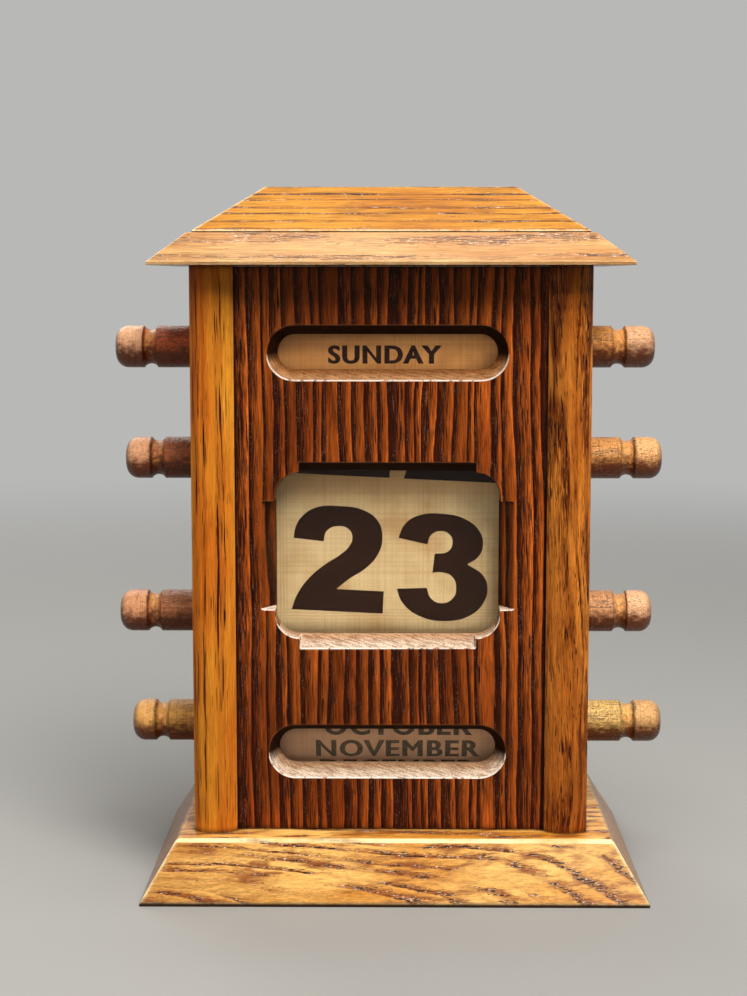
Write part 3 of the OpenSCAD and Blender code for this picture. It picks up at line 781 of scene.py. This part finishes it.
def linenMaterial(name, look, place):
    material, shader = newMaterial(name)
    flat = place()
    # Painted light: lighter towards +x, which evens out the window's shade on the left end
    sunned = fade(apart(flat)[0], *look["sunnedFrom"])
    clean = mixColour(sunned, look["colour"], look["sunned"])
    weave = useGroup(weaveGroup, {"Vector": flat, "Pitch": clothLook["pitch"]})
    stains = cloudy(flat, 3.0, 0.55, 0.06)
    tone = plus(fade(stains, 0.4, 0.7, 0.0, 0.6), fade(weave["Shade"], 0.36, 0.64, 0.0, 0.35))
    # Painted shade: darker where the weave lies low
    tone = plus(tone, fade(weave["Height"], 0.5, 0.0, 0.0, 0.25), clamp=True)
    # Painted shade: darker and warmer near the top of the date window
    if "toned" in look:
        low, high = (level * mm for level in look["tonedFrom"])
        clean = mixColour(fade(apart()[2], low, high, 0.0, 0.8), clean, look["toned"])
    give(shader, {"Base Color": mixColour(tone, clean, look["dark"]),
                  "Roughness": clothLook["roughness"], "Specular IOR Level": clothLook["shine"],
                  "Normal": bumps(weave["Height"], 0.6, clothLook["relief"])})
    return material


# Place on a drum's or roll's surface: along the axis, and round it.
def aroundAxis(axis, radius):
    def place():
        x, y, z = apart()
        angle = calc("ARCTAN2", minus(z, axis.z), minus(axis.y, y))
        return put("CombineXYZ", {0: times(x, 1000), 1: times(angle, radius / mm)}).outputs[0]
    return place


def alongSheet():
    where = put("UVMap", uv_map="cloth").outputs[0]
    return vec("MULTIPLY", where, (1000, 1000, 0))


inkLook = {"shine": 0.06, "proud": 0.025, "sunk": 0.05, "wordStrip": 0.5, "figureStrip": 1.3,
           "clothMargin": 0.3}


def inkMaterial(name, colour):
    material, shader = newMaterial(name)
    patches = cloudy(spotInMm(), 3.0, 0.6, 1.6)
    pale = tuple(1.8 * c for c in colour)
    # Paler patches where the ink is worn
    worn = mixColour(fade(patches, 0.4, 0.7), colour, pale)
    give(shader, {"Base Color": worn, "Roughness": timesPlus(patches, 0.3, 0.5),
                  "Specular IOR Level": inkLook["shine"]})
    return material


linens = {
    "day": {"colour": (0.82, 0.36, 0.105), "sunned": (0.98, 0.44, 0.13), "sunnedFrom": (-14, 10),
            "dark": (0.62, 0.24, 0.06), "ink": (0.024, 0.007, 0.003)},
    "date": {"colour": (0.60, 0.435, 0.232), "sunned": (0.64, 0.46, 0.245), "sunnedFrom": (-20, 20),
             "dark": (0.42, 0.23, 0.085), "ink": (0.015, 0.004, 0.001), "toned": (0.62, 0.34, 0.13),
             "tonedFrom": (84, 91)},
    "month": {"colour": (0.80, 0.42, 0.225), "sunned": (0.88, 0.45, 0.235), "sunnedFrom": (-20, 20),
              "dark": (0.58, 0.30, 0.16), "ink": (0.095, 0.062, 0.036)},
}


def radiusOf(nodeName):
    low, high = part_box(nodeName)
    return (high.z - low.z) / 2


for word in ("day", "month"):
    around = aroundAxis(axisOf[word + "_spin"], radiusOf(word + "_band"))
    coat(nodes[word + "_band"].data, linenMaterial(word + "Linen", linens[word], around))


# The span of the scroll between the two date rollers

scrollLook = {"gap": 0.15, "thickness": 0.25, "wrap": 40, "slack": 0.1, "ripples": 95, "cells": (48, 90)}
upperAxis, lowerAxis = axisOf["date_upper_spin"], axisOf["date_lower_spin"]
upperReach = radiusOf("date_upper_roll") + scrollLook["gap"] * mm
lowerReach = radiusOf("date_lower_roll") + scrollLook["gap"] * mm
spanLean = math.asin((upperReach - lowerReach) / (upperAxis.z - lowerAxis.z))
wrapAngle = math.radians(scrollLook["wrap"])
spanLength = (upperAxis.z - lowerAxis.z) * math.cos(spanLean)
clothLength = (upperReach + lowerReach) * wrapAngle + spanLength
spanStart = lowerReach * wrapAngle


# The point of the scroll at x, s along it from its lower end, and h out from its back face.
def onScroll(x, s, h):
    if s < spanStart:
        axis, reach, angle = lowerAxis, lowerReach, spanLean + (spanStart - s) / lowerReach
        along = 0.0
    elif s < spanStart + spanLength:
        axis, reach, angle, along = lowerAxis, lowerReach, spanLean, s - spanStart
    else:
        axis, reach = upperAxis, upperReach
        angle, along = spanLean - (s - spanStart - spanLength) / upperReach, 0.0
    share = min(max((s - spanStart) / spanLength, 0.0), 1.0)
    ripple = math.sin(scrollLook["ripples"] * x + 1.3)
    slack = scrollLook["slack"] * mm * math.sin(math.pi * share) * ripple
    out = Vector((0, -math.cos(angle), -math.sin(angle)))
    up = Vector((0, -math.sin(spanLean), math.cos(spanLean)))
    return Vector((x, axis.y, axis.z)) + out * (reach + h + slack) + up * along


def makeScroll():
    low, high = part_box("date_scroll")
    pickNothing()
    cellsAcross, cellsAlong = scrollLook["cells"]
    bpy.ops.mesh.primitive_grid_add(x_subdivisions=cellsAcross, y_subdivisions=cellsAlong, size=1)
    sheet = bpy.context.object
    sheet.name = sheet.data.name = "dateScrollLinen"
    width = high.x - low.x
    cloth = sheet.data.uv_layers.new(name="cloth")
    flat = [(v.co.x + 0.5, v.co.y + 0.5) for v in sheet.data.vertices]
    for loop in sheet.data.loops:
        across, along = flat[loop.vertex_index]
        cloth.data[loop.index].uv = (across * width, along * clothLength)
    for point, (across, along) in zip(sheet.data.vertices, flat):
        point.co = onScroll(low.x + across * width, along * clothLength, 0.0)
    applyModifier(sheet, "SOLIDIFY", thickness=scrollLook["thickness"] * mm, offset=1.0)
    pickOnly(sheet)
    bpy.ops.object.shade_smooth_by_angle(angle=smoothBelow)
    coat(sheet.data, linenMaterial("dateLinen", linens["date"], alongSheet))
    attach(sheet, "root")
    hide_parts("date_scroll")


makeScroll()
for word, axis in (("upper", upperAxis), ("lower", lowerAxis)):
    roller = "date_" + word + "_roll"
    coat(nodes[roller].data, linenMaterial(word + "RollLinen", linens["date"],
                                           aroundAxis(axis, radiusOf(roller))))
print("linen laid")


# Print

# Cuts a flat print into strips so that it can follow a curve.
def stripCut(piece, step):
    levels = [v.co.y for v in piece.data.vertices]
    editStart(piece, "VERT")
    at = min(levels) + step
    while at < max(levels):
        bpy.ops.mesh.select_all(action="SELECT")
        bpy.ops.mesh.bisect(plane_co=(0, at, 0), plane_no=(0, 1, 0))
        at += step
    editEnd()


# Moves each point of a solid word's outline out from the walls that meet there.
def embolden(letters, bold):
    walls = {}
    for face in letters.data.polygons:
        if abs(face.normal.z) < 0.5:
            for i in face.vertices:
                known = walls.setdefault(i, [])
                if all((face.normal - other).length > 0.01 for other in known):
                    known.append(face.normal.copy())
    for i, known in walls.items():
        out = sum(known, Vector())
        if len(known) > 1:
            out /= max(0.1, 1 + known[0].dot(known[1]))
        letters.data.vertices[i].co += Vector((out.x * bold[0], out.y * bold[1], 0))


# A word as a solid in mm, centred, with capitals of the given height and stretched by widen.
def flatWord(word, height, widen, bold):
    pickNothing()
    bpy.ops.object.text_add()
    letters = bpy.context.object
    letters.data.body = word
    letters.data.size = 1
    letters.data.extrude = 0.5
    letters.data.resolution_u = 5
    letters.data.space_character = 1.0 + 0.55 * bold[0]
    bpy.ops.object.convert(target="MESH")
    letters = bpy.context.object
    points = letters.data.vertices
    top = max(v.co.y for v in points)
    left, right = min(v.co.x for v in points), max(v.co.x for v in points)
    scale = (height - 2 * bold[1]) / top
    for v in points:
        v.co = Vector(((v.co.x - (left + right) / 2) * scale * widen, (v.co.y - top / 2) * scale, v.co.z))
    editAll(letters)
    bpy.ops.mesh.remove_doubles(threshold=oneSpot)
    bpy.ops.mesh.dissolve_limited(angle_limit=math.radians(1))
    bpy.ops.mesh.quads_convert_to_tris()
    editEnd()
    embolden(letters, bold)
    stripCut(letters, inkLook["wordStrip"])
    return letters


def inkHeight(w):
    return (inkLook["proud"] if w > 0 else -inkLook["sunk"]) * mm


# Makes one piece of the words or figures of a print.
def joinPrint(made, name, ink):
    pickNothing()
    for shape in made:
        shape.select_set(True)
    bpy.context.view_layer.objects.active = made[0]
    bpy.ops.object.join()
    printed = bpy.context.object
    printed.name = printed.data.name = name
    coat(printed.data, ink)
    return printed


def printOnDrum(words, look, name):
    axis, radius = axisOf[look["joint"]], radiusOf(look["band"])
    step = 2 * math.pi / len(words)
    made = []
    for number, word in enumerate(words):
        letters = flatWord(word, look["height"], look["widen"], look["bold"])
        angle = math.radians(look["shownAt"]) - (number - look["shown"]) * step
        for v in letters.data.vertices:
            turn = angle + v.co.y * mm / radius
            reach = radius + inkHeight(v.co.z)
            v.co = Vector((look["middle"] * mm + v.co.x * mm, axis.y - reach * math.cos(turn),
                           axis.z + reach * math.sin(turn)))
        made.append(letters)
    printed = joinPrint(made, name, inkMaterial(name + "Ink", look["ink"]))
    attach(printed, look["body"])


dayPrint = {
    "joint": "day_spin", "band": "day_band", "body": "day_turner", "slot": "day_linen", "height": 4.15,
    "widen": 1.0, "bold": (0.30, 0.13), "shown": 6, "shownAt": -7.0, "middle": -1.5,
    "ink": linens["day"]["ink"],
}
monthPrint = {
    "joint": "month_spin", "band": "month_band", "body": "month_turner", "slot": "month_linen",
    "height": 4.6, "widen": 1.03, "bold": (0.28, 0.11), "shown": 10, "shownAt": -22.3, "middle": 1.6,
    "ink": linens["month"]["ink"],
}
dayNames = ["MONDAY", "TUESDAY", "WEDNESDAY", "THURSDAY", "FRIDAY", "SATURDAY", "SUNDAY"]
monthNames = ["JANUARY", "FEBRUARY", "MARCH", "APRIL", "MAY", "JUNE", "JULY", "AUGUST", "SEPTEMBER",
              "OCTOBER", "NOVEMBER", "DECEMBER"]
printOnDrum(dayNames, dayPrint, "dayNames")
printOnDrum(monthNames, monthPrint, "monthNames")

# Outlines of the figures in mm: place, and whether the line turns a corner there.
figureTwo = [
    (-0.2, 16.6, 1), (6.6, 16.1, 1), (7.3, 18.6, 0), (9.8, 19.8, 0), (12.3, 19.1, 0), (13.1, 17.3, 0),
    (12.5, 15.3, 0), (10.5, 13.2, 0), (7.2, 10.8, 0), (3.8, 7.6, 0), (1.2, 3.6, 0), (0.0, 0.0, 1),
    (20.8, 0.0, 1), (20.8, 5.2, 1), (10.0, 5.2, 1), (12.8, 7.7, 0), (16.7, 10.6, 0), (19.1, 13.8, 0),
    (19.9, 17.5, 0), (18.7, 21.4, 0), (15.4, 23.7, 0), (10.0, 24.4, 0), (4.6, 23.8, 0), (1.5, 21.6, 0),
    (0.2, 19.2, 0),
]
figureThree = [
    (-0.5, 19.2, 1), (6.1, 18.0, 1), (6.8, 20.1, 0), (8.9, 21.2, 0), (11.0, 20.5, 0), (11.8, 18.7, 0),
    (10.9, 16.6, 0), (7.9, 15.9, 1), (7.6, 11.5, 1), (9.7, 11.7, 0), (12.1, 10.8, 0), (13.2, 8.2, 0),
    (12.4, 5.6, 0), (10.0, 4.5, 0), (7.6, 5.5, 0), (6.5, 7.9, 1), (-0.3, 7.4, 1), (1.0, 4.4, 0),
    (4.8, 1.4, 0), (11.6, 0.4, 0), (17.1, 2.2, 0), (19.7, 5.3, 0), (20.3, 8.3, 0), (19.2, 11.3, 0),
    (15.4, 13.8, 1), (17.9, 15.8, 0), (18.7, 18.4, 0), (17.9, 21.3, 0), (14.8, 24.0, 0), (8.9, 25.2, 0),
    (3.5, 24.4, 0), (0.8, 22.4, 0),
]
datePrint = {"corner": (-22.6, 60.8), "turn": -2.76, "second": (24.0, -1.4), "numberStep": 31.4}


def flatFigure(outline):
    curve = bpy.data.curves.new("figure", "CURVE")
    curve.dimensions = "2D"
    curve.fill_mode = "BOTH"
    curve.extrude = 0.5
    curve.resolution_u = 8
    spline = curve.splines.new("BEZIER")
    spline.bezier_points.add(len(outline) - 1)
    spline.use_cyclic_u = True
    for point, (x, y, corner) in zip(spline.bezier_points, outline):
        point.co = (x, y, 0)
        point.handle_left_type = point.handle_right_type = "VECTOR" if corner else "AUTO"
    figure = newPiece("figure", curve)
    pickOnly(figure)
    bpy.ops.object.convert(target="MESH")
    figure = bpy.context.object
    editAll(figure)
    bpy.ops.mesh.remove_doubles(threshold=oneSpot)
    editEnd()
    return figure


def printDate():
    turn = math.radians(datePrint["turn"])
    front = scrollLook["thickness"] * mm
    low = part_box("date_scroll")[0]
    made = []
    places = [(figureTwo, (0, 0)), (figureThree, datePrint["second"]),
              (figureTwo, (0, datePrint["numberStep"])),
              (figureTwo, (datePrint["second"][0], datePrint["numberStep"]))]
    startZ = onScroll(0, spanStart, front).z
    for outline, (right, up) in places:
        figure = flatFigure(outline)
        for v in figure.data.vertices:
            u, w = v.co.x + right, v.co.y + up
            v.co.x = datePrint["corner"][0] + u * math.cos(turn) - w * math.sin(turn)
            v.co.y = (datePrint["corner"][1] - startZ / mm) / math.cos(spanLean) \
                + u * math.sin(turn) + w * math.cos(turn) + spanStart / mm
        stripCut(figure, inkLook["figureStrip"])
        editAll(figure)
        bpy.ops.mesh.bisect(plane_co=(0, clothLength / mm - inkLook["clothMargin"], 0),
                            plane_no=(0, 1, 0), clear_outer=True, use_fill=True)
        editEnd()
        for v in figure.data.vertices:
            v.co = onScroll(v.co.x * mm, v.co.y * mm, front + inkHeight(v.co.z))
        made.append(figure)
    printed = joinPrint(made, "dateFigures", inkMaterial("dateInk", linens["date"]["ink"]))
    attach(printed, "root")


printDate()
print("print laid")


# Glass, brass and the woodwork inside

glassLook = {"tint": (0.97, 0.98, 0.96), "clear": (0.94, 0.95, 0.93), "bending": 1.2}
brassLook = {"bright": (0.78, 0.56, 0.24), "tarnished": (0.40, 0.26, 0.12), "relief": 0.05}
beadLook = {
    "heart": (0, 20, 60), "ringWidth": 2.0, "light": (0.36, 0.17, 0.07), "dark": (0.2, 0.09, 0.04),
    "roughness": 0.4, "varnish": 0.0,
}
drumLook = {
    "heart": (0, 3, 70), "ringWidth": 2.2, "light": (0.70, 0.50, 0.30), "dark": (0.5, 0.34, 0.2),
    "pore": (0.3, 0.18, 0.1), "roughness": 0.45, "varnish": 0.0,
}


def glassMaterial():
    material, shader = newMaterial("windowGlass")
    give(shader, {"Base Color": glassLook["tint"], "Roughness": 0.0, "IOR": glassLook["bending"],
                  "Transmission Weight": 1.0})
    clear = put("BsdfTransparent", {0: glassLook["clear"]})
    shadow = put("LightPath").outputs["Is Shadow Ray"]
    both = put("MixShader", {0: shadow, 1: shader.outputs[0], 2: clear.outputs[0]})
    wire(both.outputs[0], material.node_tree.nodes["Material Output"].inputs[0])
    return material


def brassMaterial():
    material, shader = newMaterial("dullBrass")
    place = spotInMm()
    tarnish = cloudy(place, 4.0, 0.6, 0.7)
    scratches = cloudy(place, 2.0, 0.6, stretch=(9, 1, 3))
    colour = mixColour(fade(tarnish, 0.35, 0.7), brassLook["bright"], brassLook["tarnished"])
    give(shader, {"Base Color": colour, "Roughness": timesPlus(tarnish, 0.35, 0.18), "Metallic": 1.0,
                  "Normal": bumps(scratches, 0.25, brassLook["relief"])})
    return material


glass = glassMaterial()
brass = brassMaterial()
beadWood = oakFinish("beadWood", beadLook)
drumWood = oakFinish("drumWood", drumLook)
for ending, finish in (("_glass", glass), ("_beads", beadWood), ("_drum", drumWood),
                       ("_screws", brass), ("_pins", brass)):
    for nodeName, node in nodes.items():
        if nodeName.endswith(ending):
            coat(node.data, finish)
print("glass and brass finished")


# Studio

studio = {"floor": (0.34, 0.34, 0.332), "bounce": (0.06, 0.06, 0.059), "floorSize": 10.0,
          "sky": 0.48, "fill": 0.10, "fadeFrom": 0.3, "fadeTo": 0.9, "skyColour": (1.0, 1.0, 0.985),
          "fillColour": (1.0, 0.985, 0.96), "lampColour": (1.0, 0.965, 0.91)}


# 1 for rays that show the pale room: those from the camera, off metal and through glass.
def seenRays():
    path = put("LightPath").outputs
    return calc("MAXIMUM", path["Is Camera Ray"],
                calc("MAXIMUM", path["Is Glossy Ray"], path["Is Transmission Ray"]))


def makeStudio():
    pickNothing()
    bpy.ops.mesh.primitive_plane_add(size=studio["floorSize"])
    floor = bpy.context.object
    floor.name = "floor"
    material, shader = newMaterial("paleFloor")
    seen = seenRays()
    give(shader, {"Base Color": mixColour(seen, studio["bounce"], studio["floor"]),
                  "Roughness": 0.6, "Specular IOR Level": 0.2})
    away = put("VectorMath", {0: objectSpot()}, operation="LENGTH").outputs["Value"]
    glow = put("Emission", {"Color": studio["skyColour"],
                            "Strength": timesPlus(seen, studio["sky"] - studio["fill"], studio["fill"])})
    both = put("MixShader", {0: fade(away, studio["fadeFrom"], studio["fadeTo"]), 1: shader.outputs[0],
                             2: glow.outputs[0]})
    wire(both.outputs[0], material.node_tree.nodes["Material Output"].inputs[0])
    floor.data.materials.append(material)

    world = bpy.data.worlds.new("studio")
    bpy.context.scene.world = world
    world.use_nodes = True
    work["tree"] = world.node_tree
    dim = world.node_tree.nodes["Background"]
    give(dim, {"Color": studio["fillColour"], "Strength": studio["fill"]})
    pale = put("Background", {0: studio["skyColour"], 1: studio["sky"]})
    both = put("MixShader", {0: seenRays(), 1: dim.outputs[0], 2: pale.outputs[0]})
    wire(both.outputs[0], world.node_tree.nodes["World Output"].inputs[0])


lamps = {
    "key": {"place": (0.28, -0.56, 0.70), "aim": (0, 0, 0.08), "size": (0.4, 0.4), "power": 6.4},
    "above": {"place": (0.08, -0.24, 0.92), "aim": (0, 0, 0.08), "size": (0.5, 0.5), "power": 6.2},
    "overhead": {"place": (0.0, 0.17, 0.95), "aim": (0, 0, 0.14), "size": (0.22, 0.12), "power": 0.7},
    "frontFill": {"place": (-0.45, -0.9, 0.4), "aim": (0, 0, 0.07), "size": (0.5, 0.5), "power": 0.8},
    "behind": {"place": (-0.35, 0.75, 0.6), "aim": (0, 0, 0.07), "size": (0.4, 0.4), "power": 2.4},
}


def makeLamps():
    for name, look in lamps.items():
        lamp = bpy.data.lights.new(name, "AREA")
        lamp.shape = "RECTANGLE"
        lamp.size, lamp.size_y = look["size"]
        lamp.energy = look["power"]
        lamp.color = studio["lampColour"]
        holder = bpy.data.objects.new(name, lamp)
        bpy.context.scene.collection.objects.link(holder)
        holder.location = look["place"]
        toward = Vector(look["aim"]) - holder.location
        holder.rotation_euler = toward.to_track_quat("-Z", "Y").to_euler()


cameraLook = {"place": (0.5, -433.7, 136.0), "down": 6.674, "left": 0.596, "lens": 68.3,
              "sensorWidth": 36}


def makeCamera():
    camera = bpy.data.objects.new("camera", bpy.data.cameras.new("camera"))
    bpy.context.scene.collection.objects.link(camera)
    camera.data.lens = cameraLook["lens"]
    camera.data.sensor_width = cameraLook["sensorWidth"]
    camera.data.clip_start = 0.01
    camera.location = Vector(cameraLook["place"]) * mm
    camera.rotation_euler = (math.radians(90 - cameraLook["down"]), 0, math.radians(cameraLook["left"]))
    bpy.context.scene.camera = camera


makeStudio()
makeLamps()
makeCamera()
bpy.context.scene.view_settings.view_transform = "Standard"
print("studio set")
